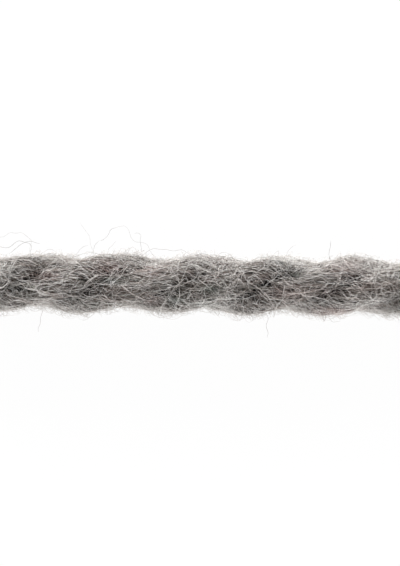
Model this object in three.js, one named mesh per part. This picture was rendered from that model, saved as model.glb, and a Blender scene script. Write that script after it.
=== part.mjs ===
// A short cut length of grey wool knitting yarn, lying straight on a flat surface.
// Three softly spun plies are twisted round each other. Each ply is one solid.
// The yarn runs along X. The origin is the middle of the underside. Millimetres and degrees.
import * as THREE from "three";

// Driving dimensions
const LAY = 16.6; // length of yarn in which a ply goes once round
const LAYS = 2; // whole turns in the cut length, so that lengths butt on end to end
const PLY_RADIUS = 1.05; // a ply's free, rounded outside, with its close fuzz
const PLY_ORBIT = 1.0; // from the yarn's axis to a ply's centre
const PLY_COUNT = 3;
const PLY_GAP = 0.3; // between the pressed sides of two plies
const PRESSED = 0.25; // flattened off the lowest places, where the yarn rests
const TURN_AT_MIDDLE = 3; // angle of the first ply at the middle of the length, from +Y towards +Z
const SWELL_WAVE = 11.3; // length of yarn from one thick place in a ply to its next
const SECTION_SIDES = 16;
const STEPS_PER_LAY = 36;

const LENGTH = LAY * LAYS;
const RIGHT_ANGLE = 90;
const FULL_TURN = 360;

// The plies: how much each swells and thins as a share of its radius, where it is thickest, and its grey.
const PLIES = [
  { name: "ply_1", swell: 0.02, thickest: 2.4, colour: 0x8d8783 },
  { name: "ply_2", swell: 0.03, thickest: -3.1, colour: 0x86817d },
  { name: "ply_3", swell: 0.02, thickest: 6.2, colour: 0x948d8a },
];

// How the yarn is uneven along its length: place along X, thickness as a share, how far the twist
// has run ahead of an even one, and how far the axis drifts towards +Y.
const UNEVEN = [
  { at: -16.6, thickness: 1.0, ahead: 0, drift: 0 },
  { at: -12.2, thickness: 0.96, ahead: 5, drift: 0 },
  { at: -8.4, thickness: 1.04, ahead: 5, drift: 0 },
  { at: -4.0, thickness: 0.99, ahead: -3, drift: 0.05 },
  { at: 0.0, thickness: 0.99, ahead: -4, drift: 0.02 },
  { at: 3.0, thickness: 1.03, ahead: -5, drift: -0.03 },
  { at: 7.0, thickness: 0.98, ahead: -2, drift: -0.03 },
  { at: 9.8, thickness: 1.03, ahead: 2, drift: 0 },
  { at: 12.8, thickness: 0.96, ahead: 5, drift: 0 },
  { at: 16.6, thickness: 1.0, ahead: 0, drift: 0 },
];

const radians = THREE.MathUtils.degToRad;

// A column of the table above at any place along the yarn, eased from row to row.
function unevenness(column, x) {
  const next = Math.max(1, UNEVEN.findIndex((row) => row.at >= x));
  const [before, after] = [UNEVEN[next - 1], UNEVEN[next]];
  const share = THREE.MathUtils.smoothstep(x, before.at, after.at);
  return THREE.MathUtils.lerp(before[column], after[column], share);
}

// A ply leans along its helix, so a slice square to the yarn is wider round the yarn than outwards.
const leanWidening = Math.hypot(1, (2 * Math.PI * PLY_ORBIT) / LAY);

// Distance from a ply's centre to its surface, in the direction that is `around` degrees from outwards.
// It is rounded outside and pressed flat against the two neighbours.
function plySurface(around, radius, orbit) {
  const across = Math.cos(radians(around)) / radius;
  const along = Math.sin(radians(around)) / (radius * leanWidening);
  const rounded = 1 / Math.hypot(across, along);
  const wallTurn = RIGHT_ANGLE + FULL_TURN / 2 / PLY_COUNT;
  const wallDistance = orbit * Math.sin(Math.PI / PLY_COUNT) - PLY_GAP / 2;
  const towardsWall = Math.cos(radians(Math.abs(around) - wallTurn));
  return towardsWall > 0 ? Math.min(rounded, wallDistance / towardsWall) : rounded;
}

// Moves a point of a straight, round bar of radius 1 along Z to its place in a plied, uneven ply along X.
function plied(point, ply, firstTurn) {
  const x = point.z - LENGTH / 2;
  const around = THREE.MathUtils.radToDeg(Math.atan2(point.y, point.x));
  const thickness = unevenness("thickness", x);
  const swell = 1 + ply.swell * Math.cos((2 * Math.PI * (x - ply.thickest)) / SWELL_WAVE);
  const orbit = PLY_ORBIT * thickness;
  const reach = plySurface(around, PLY_RADIUS * thickness * swell, orbit);
  const turn = radians(firstTurn - (FULL_TURN * x) / LAY - unevenness("ahead", x));
  const outwards = orbit + reach * Math.cos(radians(around));
  const sideways = reach * Math.sin(radians(around));
  const y = outwards * Math.cos(turn) - sideways * Math.sin(turn) + unevenness("drift", x);
  const z = outwards * Math.sin(turn) + sideways * Math.cos(turn);
  const lowest = PRESSED - PLY_ORBIT - PLY_RADIUS;
  return point.set(x, y, Math.max(z, lowest));
}

// One ply: a round section pushed along the length in many steps, then plied point by point.
function plyMesh(ply, index) {
  const section = new THREE.Shape();
  for (let side = 0; side < SECTION_SIDES; side += 1) {
    const angle = (2 * Math.PI * side) / SECTION_SIDES;
    const draw = side === 0 ? "moveTo" : "lineTo";
    section[draw](Math.cos(angle), Math.sin(angle));
  }
  section.closePath();
  const geometry = new THREE.ExtrudeGeometry(section, {
    depth: LENGTH,
    steps: STEPS_PER_LAY * LAYS,
    bevelEnabled: false,
  });
  const firstTurn = TURN_AT_MIDDLE + (FULL_TURN / PLY_COUNT) * index;
  const points = geometry.getAttribute("position");
  const point = new THREE.Vector3();
  for (let i = 0; i < points.count; i += 1) {
    plied(point.fromBufferAttribute(points, i), ply, firstTurn);
    points.setXYZ(i, point.x, point.y, point.z);
  }
  geometry.computeVertexNormals();
  const wool = new THREE.MeshStandardMaterial({ color: ply.colour, roughness: 0.95, metalness: 0 });
  const mesh = new THREE.Mesh(geometry, wool);
  mesh.name = ply.name;
  return mesh;
}

// The strand of plies, raised onto the surface and centred over the origin.
const strand = new THREE.Group();
PLIES.forEach((ply, index) => strand.add(plyMesh(ply, index)));
const bounds = new THREE.Box3().setFromObject(strand, true);
const middle = bounds.getCenter(new THREE.Vector3());
strand.position.set(-middle.x, -middle.y, -bounds.min.z);

const yarn = new THREE.Group();
yarn.add(strand);

export default yarn;
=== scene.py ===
import math

import bpy
import numpy as np
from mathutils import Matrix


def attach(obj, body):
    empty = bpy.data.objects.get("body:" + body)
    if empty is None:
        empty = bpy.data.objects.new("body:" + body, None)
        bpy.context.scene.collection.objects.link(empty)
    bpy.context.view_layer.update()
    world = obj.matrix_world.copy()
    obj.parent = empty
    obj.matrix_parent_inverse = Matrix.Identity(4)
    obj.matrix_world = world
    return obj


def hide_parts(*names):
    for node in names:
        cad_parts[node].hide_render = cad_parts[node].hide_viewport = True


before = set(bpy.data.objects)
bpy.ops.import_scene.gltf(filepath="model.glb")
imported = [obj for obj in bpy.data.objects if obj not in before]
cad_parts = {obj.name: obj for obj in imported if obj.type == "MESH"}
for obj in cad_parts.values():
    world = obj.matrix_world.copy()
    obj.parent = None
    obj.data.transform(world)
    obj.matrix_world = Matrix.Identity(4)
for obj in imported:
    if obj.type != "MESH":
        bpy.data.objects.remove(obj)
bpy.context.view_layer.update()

# The camera looks straight down on the yarn through a long lens, as for a close-up on a copy stand.
# It is turned by less than a degree, so the yarn falls a little towards the right of the picture.
# Lengths are in millimetres all through, but for the floor and the lights at the end.
MM = 0.001
PICTURE_WIDE = 400
PICTURE_HIGH = 566
MM_PER_PIXEL = 0.07
LENS = 100.0
SENSOR = 36.0
CAMERA_TURN = math.radians(0.67)
YARN_BELOW_CENTRE = 0.13
YARN_AXIS_HEIGHT = 1.8
NEAREST = 5
FARTHEST = 5000

camera_data = bpy.data.cameras.new("camera")
camera_data.lens = LENS
camera_data.sensor_width = SENSOR
camera_data.clip_start = NEAREST * MM
camera_data.clip_end = FARTHEST * MM
camera = bpy.data.objects.new("camera", camera_data)
bpy.context.scene.collection.objects.link(camera)
bpy.context.scene.camera = camera
camera_distance = PICTURE_HIGH * MM_PER_PIXEL / SENSOR * LENS
camera.location = (0, YARN_BELOW_CENTRE * MM, (YARN_AXIS_HEIGHT + camera_distance) * MM)
camera.rotation_euler = (0, 0, CAMERA_TURN)


def picture_place(column, row):
    """Where the yarn's middle level shows at a pixel of the picture, in millimetres."""
    right = (column - PICTURE_WIDE / 2) * MM_PER_PIXEL
    up = (PICTURE_HIGH / 2 - row) * MM_PER_PIXEL
    x = right * math.cos(CAMERA_TURN) - up * math.sin(CAMERA_TURN)
    y = right * math.sin(CAMERA_TURN) + up * math.cos(CAMERA_TURN) + YARN_BELOW_CENTRE
    return x, y


# The plied strand: three softly spun plies of undyed grey wool, twisted round each other and pressed
# together. These are their dense inner bodies, ridged along the fibres and cut square at both ends. Every
# hair is placed from them. Angles round the yarn run from +Y towards +Z.
LAY = 16.6
HALF_LENGTH = 16.6
PLY_RADIUS = 1.05
PLY_ORBIT = 1.0
PLY_GAP = 0.3
WALL_FACES = math.radians(150)
TURN_AT_MIDDLE = math.radians(3)
SWELL_WAVE = 11.3
AXIS_SHIFT = 0.02
SPIN = 0.82
BODY_DEPTH = 0.36
BODY_REST = 0.01
WALL_STARTS = math.radians(85)
WALL_EASES = math.radians(35)
PLIES = [
    {"name": "ply_1", "swell": 0.02, "thickest": 2.4},
    {"name": "ply_2", "swell": 0.03, "thickest": -3.1},
    {"name": "ply_3", "swell": 0.02, "thickest": 6.2},
]
UNEVEN = np.array(
    [  # place along X, thickness, degrees of twist ahead of even, drift towards +Y
        (-HALF_LENGTH, 1.0, 0, 0),
        (-12.2, 0.96, 5, 0),
        (-8.4, 1.04, 5, 0),
        (-4.0, 0.99, -3, 0.05),
        (0.0, 0.99, -4, 0.02),
        (3.0, 1.03, -5, -0.03),
        (7.0, 0.98, -2, -0.03),
        (9.8, 1.03, 2, 0),
        (12.8, 0.96, 5, 0),
        (HALF_LENGTH, 1.0, 0, 0),
    ]
)
lean_widening = math.hypot(1, 2 * math.pi * PLY_ORBIT / LAY)


def uneven(column, x):
    """A column of the table at any places along the yarn, eased from row to row."""
    rows = UNEVEN[:, 0]
    after = np.clip(np.searchsorted(rows, x), 1, len(rows) - 1)
    share = np.clip((x - rows[after - 1]) / (rows[after] - rows[after - 1]), 0, 1)
    share = share * share * (3 - 2 * share)
    return UNEVEN[after - 1, column] * (1 - share) + UNEVEN[after, column] * share


def ply_turn(index, x):
    """The angle of a ply's centre round the yarn's axis."""
    return TURN_AT_MIDDLE + 2 * math.pi * (index / 3 - x / LAY) - np.radians(uneven(2, x))


def on_ply(index, x, around, lift):
    """Points that stand `lift` out from a ply's surface, `around` from its outward side."""
    ply = PLIES[index]
    thickness = uneven(1, x)
    swell = 1 + ply["swell"] * np.cos(2 * math.pi * (x - ply["thickest"]) / SWELL_WAVE)
    radius = PLY_RADIUS * thickness * swell
    orbit = PLY_ORBIT * thickness
    rounded = radius / np.hypot(np.cos(around), np.sin(around) / lean_widening)
    turned = np.abs((around + math.pi) % (2 * math.pi) - math.pi)
    facing = np.maximum(np.cos(turned - WALL_FACES), 0.05)
    wall = (orbit * math.sin(math.pi / 3) - PLY_GAP / 2) / facing
    reach = np.minimum(rounded, wall) + lift
    turn = ply_turn(index, x)
    outwards = orbit + reach * np.cos(around)
    sideways = reach * np.sin(around)
    y = outwards * np.cos(turn) - sideways * np.sin(turn) + uneven(3, x) + AXIS_SHIFT
    z = outwards * np.sin(turn) + sideways * np.cos(turn) + YARN_AXIS_HEIGHT
    return np.stack([x + 0 * y, y, z], -1)


class Socket:
    """A node's output in an expression: each operator adds its Math node."""

    def __init__(self, finish, output):
        self.finish = finish
        self.output = output

    def maths(self, operation, first, second):
        return self.finish.add("ShaderNodeMath", {"operation": operation}, {0: first, 1: second})

    def __sub__(self, other):
        return self.maths("SUBTRACT", self, other)

    def __rsub__(self, other):
        return self.maths("SUBTRACT", other, self)

    def __mul__(self, other):
        return self.maths("MULTIPLY", self, other)

    __rmul__ = __mul__

    def __gt__(self, other):
        return self.maths("GREATER_THAN", self, other)

    def __lt__(self, other):
        return self.maths("LESS_THAN", self, other)

    def __abs__(self):
        return self.maths("ABSOLUTE", self, 0)


class Finish:
    """The nodes of a material, or of the room."""

    def __init__(self, owner):
        self.owner = owner
        owner.use_nodes = True
        self.tree = owner.node_tree
        self.tree.nodes.clear()

    def add(self, kind, settings=None, inputs=None, output=0):
        """Adds a node: its settings first, then a value or a link for each of its sockets."""
        node = self.tree.nodes.new(kind)
        for name, value in (settings or {}).items():
            if name == "stops":
                ramp = node.color_ramp
                while len(ramp.elements) < len(value):
                    ramp.elements.new(1)
                for element, (place, colour) in zip(ramp.elements, value):
                    element.position = place
                    element.color = (*colour, 1)
            else:
                setattr(node, name, value)
        for name, value in (inputs or {}).items():
            if isinstance(value, Socket):
                self.tree.links.new(value.output, node.inputs[name])
            else:
                node.inputs[name].default_value = value
        return Socket(self, node.outputs[output]) if node.outputs else None

    def surface(self, inputs):
        """Ends a material in one Principled surface."""
        shader = self.add("ShaderNodeBsdfPrincipled", None, inputs)
        self.add("ShaderNodeOutputMaterial", None, {"Surface": shader})


def mesh_piece(name, points, quads, triangles, maps, material):
    """Makes a smooth mesh from arrays, with a UV map for each entry of maps."""
    mesh = bpy.data.meshes.new(name)
    corners = np.concatenate([quads.ravel(), triangles.ravel()]).astype(np.int32)
    counts = np.concatenate([np.full(len(quads), 4), np.full(len(triangles), 3)])
    starts = np.concatenate([[0], np.cumsum(counts)[:-1]]).astype(np.int32)
    mesh.vertices.add(len(points))
    mesh.vertices.foreach_set("co", (points * MM).astype(np.float32).ravel())
    mesh.loops.add(len(corners))
    mesh.loops.foreach_set("vertex_index", corners)
    mesh.polygons.add(len(counts))
    mesh.polygons.foreach_set("loop_start", starts)
    mesh.polygons.foreach_set("use_smooth", np.ones(len(counts), bool))
    mesh.update(calc_edges=True)
    for map_name, places in maps.items():
        layer = mesh.uv_layers.new(name=map_name)
        layer.uv.foreach_set("vector", places[corners].astype(np.float32).ravel())
    mesh.validate()
    mesh.materials.append(material)
    piece = bpy.data.objects.new(name, mesh)
    bpy.context.scene.collection.objects.link(piece)
    return piece


BODY_RINGS = 160
BODY_SIDES = 32
RIDGE = 0.0175
RIDGES_ROUND = (3, 5, 8, 13)
# The body's greys are painted shade. They are far darker than the wool's own grey and stand for the shade
# deep among the hairs. The streaks along the fibres are the wool's own.
BODY_SHADE_GREYS = [(0.3, (0.02, 0.019, 0.018)), (0.5, (0.05, 0.047, 0.045)), (0.7, (0.12, 0.115, 0.11))]
STREAKS_ALONG = 0.8
STREAKS_ROUND = 5
NEXT_PLY = 40
CUT_STARTS = 16.55
CUT_GREY = (0.2, 0.19, 0.18, 1)
WOOL_GLOSS = 0.25

body_finish = Finish(bpy.data.materials.new("wool_body"))
spun = body_finish.add("ShaderNodeUVMap", {"uv_map": "spun"})
streaks = body_finish.add(
    "ShaderNodeTexNoise", {"noise_dimensions": "2D"}, {"Vector": spun, "Scale": 1.0, "Detail": 4.0}
)
shaded_body_colour = body_finish.add("ShaderNodeValToRGB", {"stops": BODY_SHADE_GREYS}, {"Fac": streaks})
object_place = body_finish.add("ShaderNodeTexCoord", output="Object")
along_yarn = body_finish.add("ShaderNodeSeparateXYZ", None, {0: object_place})
cut = abs(along_yarn) > CUT_STARTS * MM
shaded_body_colour = body_finish.add(
    "ShaderNodeMix", {"data_type": "RGBA"}, {0: cut, 6: shaded_body_colour, 7: CUT_GREY}, output=2
)
body_rough = 0.9 - 0.3 * streaks
body_finish.surface({"Base Color": shaded_body_colour, "Roughness": body_rough, "Specular IOR Level": WOOL_GLOSS})

rings = np.linspace(-HALF_LENGTH, HALF_LENGTH, BODY_RINGS)
sides = np.linspace(-math.pi, math.pi, BODY_SIDES, endpoint=False)
x, around = np.meshgrid(rings, sides, indexing="ij")
rng = np.random.default_rng(11)
points, quads, caps, unique_map, spun_map = [], [], [], [], []
walls = (BODY_DEPTH + PLY_GAP / 2) * np.clip((np.abs(around) - WALL_STARTS) / WALL_EASES, 0, 1)
ring_start = np.arange(BODY_RINGS - 1)[:, None] * BODY_SIDES
side = np.arange(BODY_SIDES)[None, :]
ring_quads = np.stack(
    [
        ring_start + side,
        ring_start + (side + 1) % BODY_SIDES,
        ring_start + (side + 1) % BODY_SIDES + BODY_SIDES,
        ring_start + side + BODY_SIDES,
    ],
    -1,
).reshape(-1, 4)
for index in range(3):
    along_fibre = around - SPIN * x
    ridges = sum(
        RIDGE * np.sin(number * along_fibre + rng.uniform(0, 6) + 0.4 * np.sin(x * rng.uniform(0.5, 2)))
        for number in RIDGES_ROUND
    )
    surface = on_ply(index, x, around, ridges - BODY_DEPTH + walls).reshape(-1, 3)
    surface[:, 2] = np.maximum(surface[:, 2], BODY_REST)
    start = sum(map(len, points))
    ends = on_ply(index, np.array([-HALF_LENGTH, HALF_LENGTH]), np.zeros(2), -PLY_RADIUS)
    points += [surface, ends]
    quads.append(ring_quads + start)
    last = start + len(surface)
    near = start + np.arange(BODY_SIDES)
    far = near + (BODY_RINGS - 1) * BODY_SIDES
    caps.append(np.stack([np.full(BODY_SIDES, last), np.roll(near, -1), near], -1))
    caps.append(np.stack([np.full(BODY_SIDES, last + 1), far, np.roll(far, -1)], -1))
    across = (index + 0.5 + 0.9 * around / (2 * math.pi)) / 3
    along = 0.5 + 0.48 * x / HALF_LENGTH
    middle = (index + 0.5) / 3
    unique_map += [np.stack([along, across], -1).reshape(-1, 2), [(0.005, middle), (0.995, middle)]]
    spun_round = along_fibre * STREAKS_ROUND + index * NEXT_PLY
    spun_places = np.stack([x * STREAKS_ALONG, spun_round], -1).reshape(-1, 2)
    spun_map += [spun_places, [(0, index), (1, index)]]
strand = mesh_piece(
    "plied_strand",
    np.concatenate(points),
    np.concatenate(quads),
    np.concatenate(caps),
    {"OFBake": np.concatenate(unique_map), "spun": np.concatenate(spun_map)},
    body_finish.owner,
)
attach(strand, "root")
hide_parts("ply_1", "ply_2", "ply_3")


# The plies' surface hairs: fine crimped wool, spun in locks that run nearly straight along the yarn because
# the plies are twisted the other way. Each hair is a thin closed tube that crosses its ply's outside.
FIBRE_POINTS = 9
TUBE_SIDES = 3
TUBE_TINT = 0.004
TUBE_CLEARANCE = 0.005
UPPER_SIDE = YARN_AXIS_HEIGHT - 0.3
GREENISH = [(0.0, (0.025, 0.028, 0.024)), (0.5, (0.164, 0.172, 0.149)), (1.0, (0.75, 0.75, 0.72))]
PINKISH = [(0.0, (0.034, 0.024, 0.021)), (0.5, (0.23, 0.163, 0.141)), (1.0, (0.80, 0.73, 0.70))]
WOOL_HAIR = {
    "Roughness": 0.6,
    "Subsurface Weight": 0.7,
    "Subsurface Scale": 0.04 * MM,
    "Subsurface Radius": (1, 1, 1),
}

# Patches that make the hairs on the upper side paler or darker, and more or less pinkish, by their place and
# half size in the picture. The first two run the whole length. They are painted light along the upper side
# and painted shade along the lower side. The darker small ones are partly the fleece's own tone and partly
# painted shade in the grooves. The pinker and greener ones are the fleece's own colours.
TONE_AND_LIGHT_PATCHES = [
    {"column": 200, "row": 264, "wide": 400, "high": 12, "paler": 0.07, "pinker": 0.0},
    {"column": 200, "row": 302, "wide": 400, "high": 10, "paler": -0.035, "pinker": 0.0},
    {"column": 10, "row": 270, "wide": 14, "high": 7, "paler": 0.06, "pinker": -0.1},
    {"column": 20, "row": 287, "wide": 16, "high": 4, "paler": -0.22, "pinker": -0.2},
    {"column": 22, "row": 297, "wide": 16, "high": 3, "paler": -0.18, "pinker": 0.0},
    {"column": 40, "row": 267, "wide": 12, "high": 5, "paler": -0.2, "pinker": 0.0},
    {"column": 47, "row": 276, "wide": 14, "high": 4, "paler": -0.25, "pinker": 0.6},
    {"column": 66, "row": 262, "wide": 14, "high": 5, "paler": -0.14, "pinker": 0.0},
    {"column": 96, "row": 284, "wide": 14, "high": 5, "paler": -0.18, "pinker": 0.0},
    {"column": 100, "row": 303, "wide": 24, "high": 4, "paler": 0.02, "pinker": -0.1},
    {"column": 111, "row": 270, "wide": 15, "high": 7, "paler": -0.01, "pinker": 0.6},
    {"column": 113, "row": 281, "wide": 12, "high": 3, "paler": 0.02, "pinker": -0.7},
    {"column": 132, "row": 293, "wide": 28, "high": 5, "paler": -0.26, "pinker": 0.1},
    {"column": 148, "row": 262, "wide": 18, "high": 5, "paler": -0.02, "pinker": 0.0},
    {"column": 152, "row": 273, "wide": 12, "high": 5, "paler": 0.06, "pinker": 0.4},
    {"column": 153, "row": 301, "wide": 10, "high": 4, "paler": -0.14, "pinker": 0.5},
    {"column": 174, "row": 300, "wide": 9, "high": 5, "paler": 0.02, "pinker": -0.5},
    {"column": 191, "row": 286, "wide": 13, "high": 6, "paler": -0.34, "pinker": 0.0},
    {"column": 206, "row": 304, "wide": 14, "high": 4, "paler": 0.04, "pinker": -0.3},
    {"column": 211, "row": 290, "wide": 9, "high": 5, "paler": -0.4, "pinker": -0.5},
    {"column": 224, "row": 282, "wide": 10, "high": 6, "paler": -0.2, "pinker": -0.1},
    {"column": 232, "row": 266, "wide": 12, "high": 6, "paler": -0.14, "pinker": 0.0},
    {"column": 246, "row": 291, "wide": 13, "high": 5, "paler": -0.33, "pinker": 0.0},
    {"column": 263, "row": 276, "wide": 8, "high": 4, "paler": -0.18, "pinker": 0.3},
    {"column": 285, "row": 291, "wide": 16, "high": 7, "paler": -0.14, "pinker": 0.5},
    {"column": 286, "row": 263, "wide": 16, "high": 6, "paler": 0.4, "pinker": -0.2},
    {"column": 294, "row": 275, "wide": 8, "high": 3, "paler": -0.3, "pinker": -0.3},
    {"column": 318, "row": 270, "wide": 13, "high": 8, "paler": 0.02, "pinker": 0.0},
    {"column": 325, "row": 291, "wide": 22, "high": 5, "paler": -0.18, "pinker": 0.3},
    {"column": 331, "row": 311, "wide": 15, "high": 4, "paler": 0.02, "pinker": 1.3},
    {"column": 346, "row": 271, "wide": 16, "high": 8, "paler": 0.32, "pinker": 0.6},
    {"column": 367, "row": 288, "wide": 11, "high": 5, "paler": -0.26, "pinker": 0.2},
    {"column": 370, "row": 303, "wide": 12, "high": 5, "paler": 0.06, "pinker": 0.0},
    {"column": 388, "row": 287, "wide": 9, "high": 6, "paler": -0.3, "pinker": 0.1},
    {"column": 391, "row": 303, "wide": 9, "high": 6, "paler": -0.16, "pinker": 0.0},
]


def waves(rng, x, shortest, longest, size, rows=None):
    """A smooth random wave along x, another one for each row or for each lock, made of three sines."""
    rows = rows or x.shape[:-1] + (1,)
    total = 0
    for _ in range(3):
        length = rng.uniform(shortest, longest, rows)
        phase = rng.uniform(0, 2 * math.pi, rows)
        total = total + np.sin(2 * math.pi * x / length + phase)
    return size * total / math.sqrt(3)


# A hair's map holds its colour: U is how pale it is, and V how pinkish rather than greenish.
hair_finish = Finish(bpy.data.materials.new("wool_hairs"))
hair_place = hair_finish.add("ShaderNodeUVMap", {"uv_map": "OFBake"})
hair_pale = hair_finish.add("ShaderNodeSeparateXYZ", None, {0: hair_place})
hair_pink = hair_finish.add("ShaderNodeSeparateXYZ", None, {0: hair_place}, output=1)
greenish_grey = hair_finish.add("ShaderNodeValToRGB", {"stops": GREENISH}, {"Fac": hair_pale})
pinkish_grey = hair_finish.add("ShaderNodeValToRGB", {"stops": PINKISH}, {"Fac": hair_pale})
hair_colour = hair_finish.add(
    "ShaderNodeMix", {"data_type": "RGBA"}, {0: hair_pink, 6: greenish_grey, 7: pinkish_grey}, output=2
)
hair_finish.surface({"Base Color": hair_colour, "Specular IOR Level": WOOL_GLOSS, **WOOL_HAIR})


def tubes(name, path, radius, pale, pink):
    """One piece of many hairs, closed tubes: path is hairs x points x 3, and the rest hairs x points."""
    hairs, count = path.shape[:2]
    radius, pale, pink = (np.broadcast_to(value, (hairs, count)) for value in (radius, pale, pink))
    pale = pale.copy()
    pink = pink.copy()
    upper = path[..., 2] > UPPER_SIDE
    # The patches add the fleece's tones, and painted light and shade, to the hairs on the upper side.
    for patch in TONE_AND_LIGHT_PATCHES:
        x, y = picture_place(patch["column"], patch["row"])
        across = (path[..., 0] - x) / (patch["wide"] * MM_PER_PIXEL)
        down = (path[..., 1] - y) / (patch["high"] * MM_PER_PIXEL)
        share = upper * np.exp(-(across**2 + down**2))
        pale += patch["paler"] * share
        pink += patch["pinker"] * share
    path = path.copy()
    path[..., 2] = np.maximum(path[..., 2], radius + TUBE_CLEARANCE)
    ahead = np.gradient(path, axis=1)
    ahead /= np.linalg.norm(ahead, axis=-1, keepdims=True) + 1e-12
    outward = np.zeros_like(path)
    up = np.tile((0.3, 0.5, 0.8), (hairs, 1))
    for step in range(count):
        up = up - (up * ahead[:, step]).sum(-1, keepdims=True) * ahead[:, step]
        up /= np.linalg.norm(up, axis=-1, keepdims=True) + 1e-12
        outward[:, step] = up
    beside = np.cross(ahead, outward)
    corners = []
    map_places = []
    for number in range(TUBE_SIDES):
        angle = 2 * math.pi * number / TUBE_SIDES
        direction = math.cos(angle) * outward + math.sin(angle) * beside
        corners.append(path + radius[..., None] * direction)
        map_places.append(np.stack([pale, pink + TUBE_TINT * (number - 1)], -1))
    points = np.stack(corners, 2).reshape(-1, 3)
    places = np.clip(np.stack(map_places, 2).reshape(-1, 2), 0.002, 0.998)
    first = (np.arange(hairs)[:, None] * count + np.arange(count - 1)[None, :]) * TUBE_SIDES
    quads = []
    for number in range(TUBE_SIDES):
        here = first + number
        beyond = first + (number + 1) % TUBE_SIDES
        quads.append(np.stack([here, beyond, beyond + TUBE_SIDES, here + TUBE_SIDES], -1))
    quads = np.stack(quads, 2).reshape(-1, 4)
    start = np.arange(hairs)[:, None] * count * TUBE_SIDES
    end = start + (count - 1) * TUBE_SIDES
    triangles = np.concatenate([start + np.array([2, 1, 0]), end + np.array([0, 1, 2])])
    piece = mesh_piece(name, points, quads, triangles, {"OFBake": places}, hair_finish.owner)
    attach(piece, "root")


PLY_LOCKS = 940
HAIRS_IN_LOCK = 4
HAIR_RADIUS = 0.02
HALF_HAIR = (1.1, 2.1)
OUTER_SIDE = math.radians(105)
UNDERSIDE = -0.7
UNDERSIDE_SHARE = 0.25
LONG_WAVES = (2.5, 5)
SHORT_WAVES = (1.1, 2.4)
SUNK = 0.1
DEEPEST_LOCK = 0.2
DARK_HAIRS = 0.28
DARK_SHADE = 0.35
DEPTH_SHADE = 0.9
GROOVE_FILL = 0.2
GROOVE_SHADE = 0.4
GROOVE_STARTS = math.radians(60)
GROOVE_EASES = math.radians(50)
for index, ply in enumerate(PLIES):
    rng = np.random.default_rng(100 + index)
    lock = (PLY_LOCKS, 1, 1)
    hair = (PLY_LOCKS, HAIRS_IN_LOCK, 1)
    step = np.linspace(-1, 1, FIBRE_POINTS)[None, None, :]
    middles = rng.uniform(-HALF_LENGTH - 0.6, HALF_LENGTH + 0.6, PLY_LOCKS * 2)
    arounds = rng.uniform(-OUTER_SIDE, OUTER_SIDE, PLY_LOCKS * 2)
    underneath = np.sin(arounds + ply_turn(index, middles)) < UNDERSIDE
    chosen = np.flatnonzero(~underneath | (rng.random(PLY_LOCKS * 2) < UNDERSIDE_SHARE))[:PLY_LOCKS]
    middle = middles[chosen].reshape(lock)
    half = rng.uniform(*HALF_HAIR, hair)
    slide = rng.uniform(-0.6, 0.6, hair)
    beyond = rng.uniform(-0.1, 0.2, hair)
    left = np.maximum(middle + slide - half, -HALF_LENGTH - beyond)
    right = np.minimum(middle + slide + half, HALF_LENGTH + beyond)
    x = left + (right - left) * (step + 1) / 2
    around = (SPIN + rng.normal(0, 0.14, lock) + rng.normal(0, 0.10, hair)) * (x - middle)
    around = around + arounds[chosen].reshape(lock)
    around = around + waves(rng, x, *LONG_WAVES, 0.10, lock) + waves(rng, x, *SHORT_WAVES, 0.055, lock)
    around = around + rng.normal(0, 0.12, hair) + waves(rng, x, *SHORT_WAVES, 0.025)
    lock_depth = rng.uniform(0.0, DEEPEST_LOCK, lock)
    depth = lock_depth + rng.exponential(0.05, hair)
    depth = depth + np.clip(np.abs(step) - 0.75, 0, 1)
    groove = np.clip((np.abs(around) - GROOVE_STARTS) / GROOVE_EASES, 0, 1)
    depth = depth - GROOVE_FILL * groove
    lift = waves(rng, x, *SHORT_WAVES, 0.04, lock) - SUNK - depth
    path = on_ply(index, x, around, lift)
    shaded = groove * np.clip((path[..., 2] - YARN_AXIS_HEIGHT - 0.2) / 0.8, 0, 1)
    radius = HAIR_RADIUS * rng.uniform(0.5, 1.05, hair) * (1 - 0.6 * np.abs(step) ** 4)
    dark = rng.random(hair) < DARK_HAIRS
    pale = rng.normal(0.68, 0.06, lock) + rng.normal(0, 0.18, hair) + 0.02 * step
    pale = pale - DARK_SHADE * dark - DEPTH_SHADE * lock_depth - GROOVE_SHADE * shaded
    pink = rng.normal(0.5, 0.14, lock) + rng.normal(0, 0.08, hair) + 0.01 * step
    flat = (-1, FIBRE_POINTS)
    tubes(
        ply["name"] + "_hairs",
        path.reshape(-1, FIBRE_POINTS, 3),
        (radius + 0 * x).reshape(flat),
        pale.reshape(flat),
        pink.reshape(flat),
    )


# The tangle: crimped hairs that have worked out of the spin and lie over the plies, most of them nearly along
# the yarn and some across it. They bridge the grooves between the plies and hold the plies together.
SOFT_RADIUS = 1.78
SOFT_LOBE = 0.26
CRIMPS = (1.0, 2.4)
PRESSED_SIDE = math.radians(25)
IN_GROOVE = -0.3
ON_TOP = 0.4
TANGLED_PLACES = [(12, 284), (184, 286), (224, 282), (375, 280)]
TANGLED_WIDTH = 1.2
TANGLED_SHARE = 0.2
TANGLE_HAIRS = 1000
TANGLE_POINTS = 13
TANGLE_LENGTHS = (1.8, 4.2)
CROSSING_SHARE = 0.33
GROOVE_LIFT = 0.04


def crest(x, angle):
    """How near a place round the yarn is to the middle of a ply: 1 there, and -1 in a groove."""
    return np.cos(3 * (angle - ply_turn(0, x)))


def round_yarn(x, angle, lift):
    """Points that stand `lift` out from the soft outside of all the plies, at an angle round the yarn."""
    reach = uneven(1, x) * (SOFT_RADIUS + SOFT_LOBE * crest(x, angle)) + lift
    y = reach * np.cos(angle) + uneven(3, x) + AXIS_SHIFT
    z = reach * np.sin(angle) + YARN_AXIS_HEIGHT
    return np.stack([x, y, z], -1)


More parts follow.
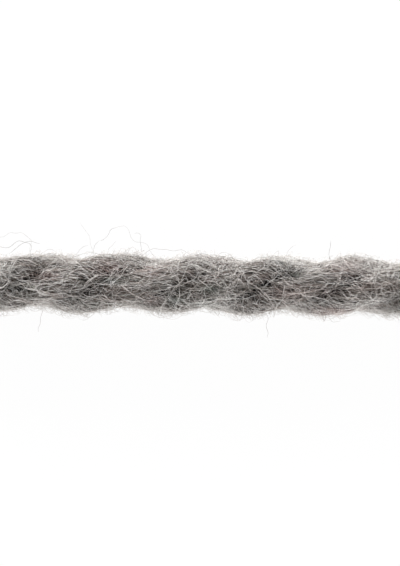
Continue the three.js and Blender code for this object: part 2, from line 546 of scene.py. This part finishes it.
def wander(rng, x, angle, length, heading, bend, wiggle, count):
    """Crimped routes over the yarn's outside: each is `length` long, and its middle is at x and angle."""
    hairs = len(x)
    step = np.linspace(0, 1, count)[None, :]
    shape = (hairs, 1)
    turn = heading[:, None] + bend[:, None] * (step - 0.5)
    for _ in range(2):
        crimps = length[:, None] / rng.uniform(*CRIMPS, shape)
        turn = turn + wiggle * np.sin(2 * math.pi * (crimps * step + rng.uniform(0, 1, shape)))
    pace = length[:, None] / (count - 1)
    along = np.cumsum(np.cos(turn) * pace, 1)
    across = np.cumsum(np.sin(turn) * pace, 1)
    x = x[:, None] + along - along.mean(1, keepdims=True)
    x = np.clip(x, -HALF_LENGTH - 0.3, HALF_LENGTH + 0.3)
    angle = angle[:, None] + (across - across.mean(1, keepdims=True)) / (SOFT_RADIUS + 0.15)
    return x, angle


def roots(rng, count, on_crests=1.0, on_top=1.0):
    """Where loose hairs stand in the yarn. on_crests is the share that is kept outside the grooves, and
    on_top the share that is kept on the combed upper side, with more at the tangled places."""
    x = rng.uniform(-HALF_LENGTH, HALF_LENGTH, 6 * count)
    angle = rng.uniform(-math.pi / 2 + PRESSED_SIDE, 1.5 * math.pi - PRESSED_SIDE, 6 * count)
    in_groove = crest(x, angle) < IN_GROOVE
    tangled = 0.0
    for column, row in TANGLED_PLACES:
        place = picture_place(column, row)[0]
        tangled = tangled + np.exp(-(((x - place) / TANGLED_WIDTH) ** 2))
    upper = np.where(in_groove, on_top**0.5, on_top)
    upper = upper + (1 - upper) * TANGLED_SHARE * np.minimum(tangled, 1)
    keep = np.where(in_groove, 1.0, on_crests) * np.where(np.sin(angle) > ON_TOP, upper, 1.0)
    chosen = np.flatnonzero(rng.random(6 * count) < keep)[:count]
    return x[chosen], angle[chosen]


rng = np.random.default_rng(200)
x, angle = wander(
    rng,
    *roots(rng, TANGLE_HAIRS, 0.7, 0.5),
    rng.uniform(*TANGLE_LENGTHS, TANGLE_HAIRS),
    rng.normal(0, 0.33, TANGLE_HAIRS) * np.where(rng.random(TANGLE_HAIRS) < CROSSING_SHARE, 3, 1),
    rng.normal(0, 0.6, TANGLE_HAIRS),
    0.28,
    TANGLE_POINTS,
)
step = np.linspace(-1, 1, TANGLE_POINTS)[None, :]
hair = (TANGLE_HAIRS, 1)
lift = rng.uniform(-0.14, 0.10, hair) + waves(rng, x, 0.8, 2.0, 0.04) - 0.12 * step**2
lift = lift + GROOVE_LIFT * (1 - crest(x, angle)) / 2
tubes(
    "tangled_hairs",
    round_yarn(x, angle, lift),
    HAIR_RADIUS * rng.uniform(0.5, 0.9, hair) * (1 - 0.5 * np.abs(step) ** 3),
    rng.normal(0.68, 0.18, hair) + 0.02 * step,
    rng.normal(0.5, 0.16, hair) + 0.01 * step,
)


# The halo: fine loose hairs that stand off the yarn all round, as loops and as free ends. Brushing against
# things has pulled them out of the spin, and they make the yarn's outline soft.
HALO_HAIRS = 2800
HALO_POINTS = 7
HALO_LENGTHS = (1.0, 2.6)
HALO_HEIGHT = 0.3
HALO_HIGHEST = 0.62
LOOPED_SHARE = 0.6
SPRING = 0.12
rng = np.random.default_rng(300)
x, angle = wander(
    rng,
    *roots(rng, HALO_HAIRS, 0.9, 0.1),
    rng.uniform(*HALO_LENGTHS, HALO_HAIRS),
    rng.normal(0, 0.8, HALO_HAIRS),
    rng.normal(0, 1.4, HALO_HAIRS),
    0.5,
    HALO_POINTS,
)
step = np.linspace(0, 1, HALO_POINTS)[None, :]
hair = (HALO_HAIRS, 1)
loop = np.sin(math.pi * step)
free_end = step**1.4
height = np.minimum(rng.exponential(HALO_HEIGHT, hair), HALO_HIGHEST)
lift = height * np.where(rng.random(hair) < LOOPED_SHARE, loop, free_end) - SPRING
tubes(
    "halo_hairs",
    round_yarn(x, angle, lift + waves(rng, x, 0.8, 2.0, 0.03)),
    HAIR_RADIUS * rng.uniform(0.36, 0.7, hair) * (1 - 0.3 * step),
    rng.normal(0.84, 0.12, hair) + 0.02 * step,
    rng.normal(0.5, 0.12, hair) + 0.01 * step,
)


# The close fuzz: short fine ends and loops of the same wool, which stand all over the plies and are thickest
# near the surface. They are the tips of hairs that the spin holds by their other end.
FUZZ_HAIRS = 7200
FUZZ_POINTS = 4
FUZZ_LENGTHS = (0.3, 0.9)
FUZZ_HEIGHT = 0.28
FUZZ_HIGHEST = 0.62
rng = np.random.default_rng(350)
x, angle = wander(
    rng,
    *roots(rng, FUZZ_HAIRS, 0.9, 0.33),
    rng.uniform(*FUZZ_LENGTHS, FUZZ_HAIRS),
    rng.normal(0, 0.9, FUZZ_HAIRS),
    rng.normal(0, 0.8, FUZZ_HAIRS),
    0.3,
    FUZZ_POINTS,
)
step = np.linspace(0, 1, FUZZ_POINTS)[None, :]
hair = (FUZZ_HAIRS, 1)
height = np.minimum(rng.exponential(FUZZ_HEIGHT, hair), FUZZ_HIGHEST)
lift = height * np.where(rng.random(hair) < 0.5, np.sin(math.pi * step), step**1.3) - SPRING
tubes(
    "fuzz_hairs",
    round_yarn(x, angle, lift),
    HAIR_RADIUS * rng.uniform(0.4, 0.7, hair) * (1 - 0.4 * step),
    rng.normal(0.86, 0.12, hair) + 0.02 * step,
    rng.normal(0.5, 0.12, hair) + 0.01 * step,
)


# The coarse hairs: long pale guard hairs that lie loose over the strand, and cross in small stars where
# they are caught together. Five of the routes are a tuft of dark hairs. The listed ones lie where the picture
# shows them, as columns and rows, and the rest are like them, all round.
COARSE_RADIUS = 0.012
COARSE_POINTS = 22
COARSE_AROUND = 110
COARSE_LENGTHS = (2.5, 6.5)
COARSE_SHADES = (0.48, 0.66)
COARSE_WAVES = (0.7, 1.6)
COARSE_STANDS_OFF = (0.24, 0.36)
COARSE_PALER = 0.1
DARK_TUFT = 0.1
DIPPING_ENDS = 0.15
COARSE_HAIRS = [
    {"route": [(12, 283), (5, 289), (-4, 294)], "hairs": 4, "pale": 0.82},
    {"route": [(12, 283), (9, 274), (5, 265)], "hairs": 1, "pale": 0.75},
    {"route": [(12, 283), (14, 271), (18, 262)], "hairs": 2, "pale": 0.84},
    {"route": [(12, 283), (20, 284), (29, 279)], "hairs": 1, "pale": 0.78},
    {"route": [(12, 283), (18, 288), (21, 291)], "hairs": 1, "pale": 0.65},
    {"route": [(6, 290), (11, 295), (18, 299)], "hairs": 1, "pale": 0.75},
    {"route": [(22, 265), (28, 271), (34, 278)], "hairs": 1, "pale": 0.7},
    {"route": [(47, 271), (56, 269), (66, 267)], "hairs": 2, "pale": 0.6},
    {"route": [(80, 270), (85, 276), (90, 284)], "hairs": 1, "pale": 0.75},
    {"route": [(85, 287), (91, 281), (100, 277)], "hairs": 2, "pale": 0.7},
    {"route": [(107, 281), (113, 275), (120, 267)], "hairs": 2, "pale": 0.95},
    {"route": [(112, 283), (121, 277), (130, 268)], "hairs": 1, "pale": 0.9},
    {"route": [(122, 285), (133, 296), (142, 303)], "hairs": 2, "pale": 0.75},
    {"route": [(181, 285), (177, 273), (178, 264)], "hairs": 2, "pale": 0.7},
    {"route": [(181, 285), (186, 272), (191, 263)], "hairs": 1, "pale": 0.75},
    {"route": [(184, 278), (174, 288), (163, 305), (160, 311)], "hairs": 2, "pale": 0.78},
    {"route": [(181, 285), (175, 287), (168, 291)], "hairs": 2, "pale": 0.7},
    {"route": [(172, 287), (171, 293), (174, 299)], "hairs": 1, "pale": 0.75},
    {"route": [(180, 284), (183, 295), (180, 310)], "hairs": 2, "pale": 0.75},
    {"route": [(188, 269), (196, 267), (204, 272), (214, 279)], "hairs": 1, "pale": 0.85},
    {"route": [(199, 279), (206, 284), (214, 291)], "hairs": 1, "pale": 0.8},
    {"route": [(220, 270), (211, 264), (204, 260)], "hairs": 2, "pale": 0.9},
    {"route": [(220, 270), (213, 274), (204, 272)], "hairs": 1, "pale": 0.8},
    {"route": [(219, 270), (226, 268), (236, 262)], "hairs": 1, "pale": 0.75},
    {"route": [(216, 287), (223, 281), (226, 290), (228, 301)], "hairs": 2, "pale": 0.75},
    {"route": [(217, 292), (222, 303), (229, 311)], "hairs": 2, "pale": 0.72},
    {"route": [(231, 289), (235, 294), (240, 300)], "hairs": 1, "pale": 0.8},
    {"route": [(239, 268), (244, 280), (254, 287), (265, 294), (273, 308)], "hairs": 2, "pale": 0.75},
    {"route": [(252, 273), (258, 277), (264, 282)], "hairs": 1, "pale": 0.8},
    {"route": [(292, 299), (297, 305), (305, 312)], "hairs": 1, "pale": 0.8},
    {"route": [(302, 289), (305, 299), (310, 302), (319, 298), (328, 288)], "hairs": 2, "pale": 0.82},
    {"route": [(320, 303), (325, 296), (331, 289)], "hairs": 1, "pale": 0.75},
    {"route": [(331, 289), (336, 282), (338, 272)], "hairs": 1, "pale": 0.7},
    {"route": [(373, 276), (362, 281), (350, 292), (340, 301)], "hairs": 1, "pale": 0.6},
    {"route": [(373, 276), (358, 284), (346, 291)], "hairs": 1, "pale": 0.7},
    {"route": [(373, 277), (374, 270), (378, 263)], "hairs": 2, "pale": 0.78},
    {"route": [(373, 277), (369, 269), (365, 262)], "hairs": 1, "pale": 0.75},
    {"route": [(373, 276), (370, 286), (373, 299)], "hairs": 2, "pale": 0.75},
    {"route": [(361, 291), (368, 299), (377, 302)], "hairs": 1, "pale": 0.75},
    {"route": [(377, 292), (379, 282), (387, 283), (392, 290), (394, 300)], "hairs": 2, "pale": 0.78},
    {"route": [(352, 265), (355, 268), (360, 269)], "hairs": 1, "pale": 0.6},
    {"route": [(292, 276), (287, 268), (283, 262)], "hairs": 2, "pale": 0.0},
    {"route": [(292, 276), (290, 267), (290, 261)], "hairs": 2, "pale": 0.05},
    {"route": [(293, 276), (296, 267), (297, 261)], "hairs": 2, "pale": 0.0},
    {"route": [(293, 276), (299, 270), (303, 264)], "hairs": 1, "pale": 0.05},
    {"route": [(284, 271), (291, 276), (299, 272)], "hairs": 2, "pale": 0.0},
]


def top_surface(x, y):
    """Height of the plies' upper side over any place, in millimetres."""
    height = np.full(x.shape, YARN_AXIS_HEIGHT)
    for index in range(3):
        turn = ply_turn(index, x)
        orbit = PLY_ORBIT * uneven(1, x)
        beside = y - orbit * np.cos(turn) - uneven(3, x) - AXIS_SHIFT
        rise = np.sqrt(np.maximum((PLY_RADIUS * lean_widening) ** 2 - beside**2, 0))
        height = np.maximum(height, YARN_AXIS_HEIGHT + (orbit * np.sin(turn) + rise) * (rise > 0))
    return height


def smoothed(values, times):
    """Evens out each row, its two ends kept."""
    for _ in range(times):
        inner = (values[:, :-2] + 2 * values[:, 1:-1] + values[:, 2:]) / 4
        values = np.concatenate([values[:, :1], inner, values[:, -1:]], 1)
    return values


def through(route, count):
    """A soft curve of `count` points along a route of picture columns and rows, in millimetres."""
    places = np.array([picture_place(column, row) for column, row in route])
    passed = np.concatenate([[0], np.cumsum(np.hypot(*np.diff(places, axis=0).T))])
    step = np.linspace(0, passed[-1], count)
    along = np.stack([np.interp(step, passed, places[:, 0]), np.interp(step, passed, places[:, 1])])
    return smoothed(along, 4).T


rng = np.random.default_rng(400)
paths, shades = [], []
for row in COARSE_HAIRS:
    for _ in range(row["hairs"]):
        places = through(row["route"], COARSE_POINTS)
        spread = rng.normal(0, 0.03, 2) + rng.normal(0, 0.2, 2) * np.linspace(0, 1, COARSE_POINTS)[:, None]
        places = places + spread
        paths.append(places)
        shades.append(row["pale"])
paths = np.array(paths)
hair = (len(paths), 1)
x = paths[..., 0] + waves(rng, paths[..., 1], *COARSE_WAVES, 0.035)
y = paths[..., 1] + waves(rng, paths[..., 0], *COARSE_WAVES, 0.035)
top = top_surface(x, y)
z = np.maximum(smoothed(top, 6), top) + rng.uniform(*COARSE_STANDS_OFF, hair)
step = np.linspace(-1, 1, COARSE_POINTS)[None, :]
picture_coarse = np.stack([x, y, z - DIPPING_ENDS * step**6], -1)
x, angle = wander(
    rng,
    *roots(rng, COARSE_AROUND, 1.0, 0.03),
    rng.uniform(*COARSE_LENGTHS, COARSE_AROUND),
    rng.normal(0, 1.0, COARSE_AROUND),
    rng.normal(0, 1.6, COARSE_AROUND),
    0.3,
    COARSE_POINTS,
)
lift = rng.uniform(-0.06, 0.12, (COARSE_AROUND, 1)) + waves(rng, x, 1.5, 3.0, 0.05)
lift = lift - DIPPING_ENDS * step**6
paths = np.concatenate([picture_coarse, round_yarn(x, angle, lift)])
shades = np.concatenate([shades, rng.uniform(*COARSE_SHADES, COARSE_AROUND)])[:, None]
shades = shades + COARSE_PALER * (shades > DARK_TUFT)
hair = (len(paths), 1)
tubes(
    "coarse_hairs",
    paths,
    COARSE_RADIUS * rng.uniform(0.8, 1.3, hair) * (1 - 0.5 * step**6),
    shades + rng.normal(0, 0.06, hair) + 0.02 * step,
    rng.normal(0.5, 0.1, hair) + 0.01 * step,
)


# The stray hairs: a few long thin hairs that stand free of the yarn in loops, rooted in it. The listed ones
# are where the picture shows them, as columns and rows, and the rest stand on the upper side.
STRAY_RADIUS = 0.01
STRAY_POINTS = 40
STRAYS_AROUND = 24
STRAY_LENGTHS = (2.0, 5.0)
STRAY_HEIGHTS = (0.4, 0.9)
STRAY_WAVES = (0.7, 1.8)
STRAY_ROOTS = 0.15
STRAY_SIDE = 0.7
STRAY_HAIRS = [
    {"route": [(-4, 238), (6, 236), (11, 233), (24, 233), (28, 237), (33, 241), (30, 254)], "level": 2.4},
    {"route": [(-4, 245), (5, 248), (10, 248), (20, 240), (30, 243), (33, 246), (29, 258)], "level": 2.0},
    {"route": [(10, 254), (16, 249), (21, 244), (25, 242), (33, 242), (40, 243)], "level": 2.2},
    {"route": [(82, 224), (86, 229), (89, 236), (92, 243), (94, 249), (91, 262)], "level": 2.6},
    {
        "route": [(92, 262), (94, 248), (100, 241), (104, 239), (113, 229), (118, 226), (125, 227)],
        "level": 2.2,
    },
    {
        "route": [(125, 227), (129, 230), (131, 236), (133, 240), (147, 245), (150, 250), (157, 258)],
        "level": 2.2,
    },
    {"route": [(106, 258), (109, 249), (113, 244), (115, 240)], "level": 1.6},
    {"route": [(76, 256), (80, 249), (84, 246), (88, 245)], "level": 1.9},
    {"route": [(134, 234), (138, 232), (141, 234), (141, 241), (140, 256)], "level": 1.8},
    {"route": [(142, 254), (155, 249), (164, 249), (172, 251), (182, 250), (196, 256)], "level": 2.0},
    {"route": [(285, 260), (287, 251), (292, 247), (296, 245)], "level": 2.3},
    {"route": [(330, 240), (329, 248), (330, 262)], "level": 2.3},
    {"route": [(378, 305), (384, 311), (390, 313), (402, 320)], "level": 1.2},
    {"route": [(313, 308), (320, 316), (327, 317), (333, 323), (341, 321)], "level": 1.3},
    {"route": [(42, 303), (42, 312), (39, 322), (38, 332)], "level": 1.3},
    {"route": [(150, 306), (163, 315), (176, 313), (190, 315), (196, 306)], "level": 1.4},
    {"route": [(265, 308), (268, 322), (267, 338)], "level": 1.3},
]
rng = np.random.default_rng(500)
places = np.array([through(row["route"], STRAY_POINTS) for row in STRAY_HAIRS])
level = np.array([[row["level"]] for row in STRAY_HAIRS])
x = places[..., 0] + waves(rng, places[..., 1], *STRAY_WAVES, 0.05)
y = places[..., 1] + waves(rng, places[..., 0], *STRAY_WAVES, 0.05)
picture_strays = np.stack([x, y, level + waves(rng, x, 3.0, 6.0, 0.15)], -1)
x, angle = wander(
    rng,
    rng.uniform(-HALF_LENGTH + 1, HALF_LENGTH - 1, STRAYS_AROUND),
    rng.uniform(STRAY_SIDE, math.pi - STRAY_SIDE, STRAYS_AROUND),
    rng.uniform(*STRAY_LENGTHS, STRAYS_AROUND),
    rng.normal(0, 0.9, STRAYS_AROUND),
    rng.normal(0, 1.5, STRAYS_AROUND),
    0.4,
    STRAY_POINTS,
)
step = np.linspace(0, 1, STRAY_POINTS)[None, :]
hair = (STRAYS_AROUND, 1)
height = rng.uniform(*STRAY_HEIGHTS, hair)
height = height * np.where(rng.random(hair) < 0.5, np.sin(math.pi * step), step**1.3)
other_strays = round_yarn(x, angle, height - STRAY_ROOTS)
paths = np.concatenate([picture_strays, other_strays])
hair = (len(paths), 1)
step = np.linspace(-1, 1, STRAY_POINTS)[None, :]
tubes(
    "stray_hairs",
    paths,
    STRAY_RADIUS * rng.uniform(0.8, 1.2, hair) * (1 - 0.4 * step**4),
    rng.normal(0.5, 0.1, hair) + 0.02 * step,
    rng.normal(0.5, 0.1, hair) + 0.01 * step,
)


# The cut ends: where scissors went through, each ply shows its hairs end on, and they splay a little.
# Each is a stub that starts inside its ply and stands a little proud of the cut.
STUBS_IN_PLY = 280
STUB_POINTS = 4
STUB_START = 0.2
STUB_ENDS = (0.02, 0.3)
STUB_RIM = 0.16
for side_name, side_sign in (("left", -1), ("right", 1)):
    rng = np.random.default_rng(600 + side_sign)
    stubs = []
    for index in range(3):
        hair = (STUBS_IN_PLY, 1)
        step = np.linspace(0, 1, STUB_POINTS)[None, :]
        end = side_sign * (HALF_LENGTH + rng.uniform(*STUB_ENDS, hair))
        start = side_sign * (HALF_LENGTH - STUB_START)
        x = start + (end - start) * step
        around = rng.uniform(-math.pi, math.pi, hair) + rng.normal(0, 0.25, hair) * step
        pressed = np.clip((np.abs(around) - WALL_STARTS) / WALL_EASES, 0, 1)
        rim = (STUB_RIM + PLY_GAP / 2) * pressed - STUB_RIM
        depth = rim - 1.0 * (1 - np.sqrt(rng.random(hair))) + rng.uniform(-0.05, 0.08, hair) * step
        stubs.append(on_ply(index, x, around, depth))
    paths = np.concatenate(stubs)
    hair = (len(paths), 1)
    tubes(
        "cut_hairs_" + side_name,
        paths,
        HAIR_RADIUS * rng.uniform(0.9, 1.5, hair) + 0 * step,
        rng.normal(0.66, 0.17, hair) + 0.02 * step,
        rng.normal(0.5, 0.16, hair) + 0.01 * step,
    )


# The strand's axis: it follows the yarn from the left cut end to the right one.
AXIS_POINTS = 24
axis_x = np.linspace(-HALF_LENGTH, HALF_LENGTH, AXIS_POINTS)
axis_z = np.full(AXIS_POINTS, YARN_AXIS_HEIGHT)
axis = np.stack([axis_x, uneven(3, axis_x) + AXIS_SHIFT, axis_z], -1) * MM


# The floor: plain white card, lit so brightly that it is as white as paper. The yarn lies on it.
FLOOR_WIDE = 1.2
WHITE_CARD = {
    "Base Color": (0.05, 0.05, 0.05, 1),
    "Roughness": 1.0,
    "Emission Color": (1, 1, 1, 1),
    "Emission Strength": 0.95,
}
bpy.ops.object.select_all(action="DESELECT")
bpy.ops.mesh.primitive_plane_add(size=FLOOR_WIDE, location=(0, 0, 0))
floor = bpy.context.object
floor.name = "floor"
floor_finish = Finish(bpy.data.materials.new("white_card"))
floor_finish.surface(WHITE_CARD)
floor.data.materials.append(floor_finish.owner)

# Plain soft studio light: a room that is white all round and dim overhead, behind the lens, and two soft
# lights over the yarn's far and near sides.
ROOM_LIGHT = [(0.0, (0.95, 0.95, 0.95)), (0.3, (0.95, 0.95, 0.95)), (0.9, (0.2, 0.2, 0.2))]
LIGHT_WIDE = 0.25
LIGHTS = [
    {"name": "far_light", "place": (-0.1, 0.48, 0.09), "watts": 5.0},
    {"name": "near_light", "place": (0.1, -0.48, 0.09), "watts": 2.3},
]
scene = bpy.context.scene
scene.view_settings.view_transform = "Standard"
room = Finish(bpy.data.worlds.new("white_room"))
direction = room.add("ShaderNodeTexCoord", output="Generated")
upward = room.add("ShaderNodeSeparateXYZ", None, {0: direction}, output="Z")
room_colour = room.add("ShaderNodeValToRGB", {"stops": ROOM_LIGHT}, {"Fac": upward})
room_glow = room.add("ShaderNodeBackground", None, {"Color": room_colour})
room.add("ShaderNodeOutputWorld", None, {"Surface": room_glow})
scene.world = room.owner
for row in LIGHTS:
    light_data = bpy.data.lights.new(row["name"], "AREA")
    light_data.shape = "DISK"
    light_data.size = LIGHT_WIDE
    light_data.energy = row["watts"]
    light = bpy.data.objects.new(row["name"], light_data)
    scene.collection.objects.link(light)
    light.location = row["place"]
    light.rotation_euler = (-light.location).to_track_quat("-Z", "Y").to_euler()
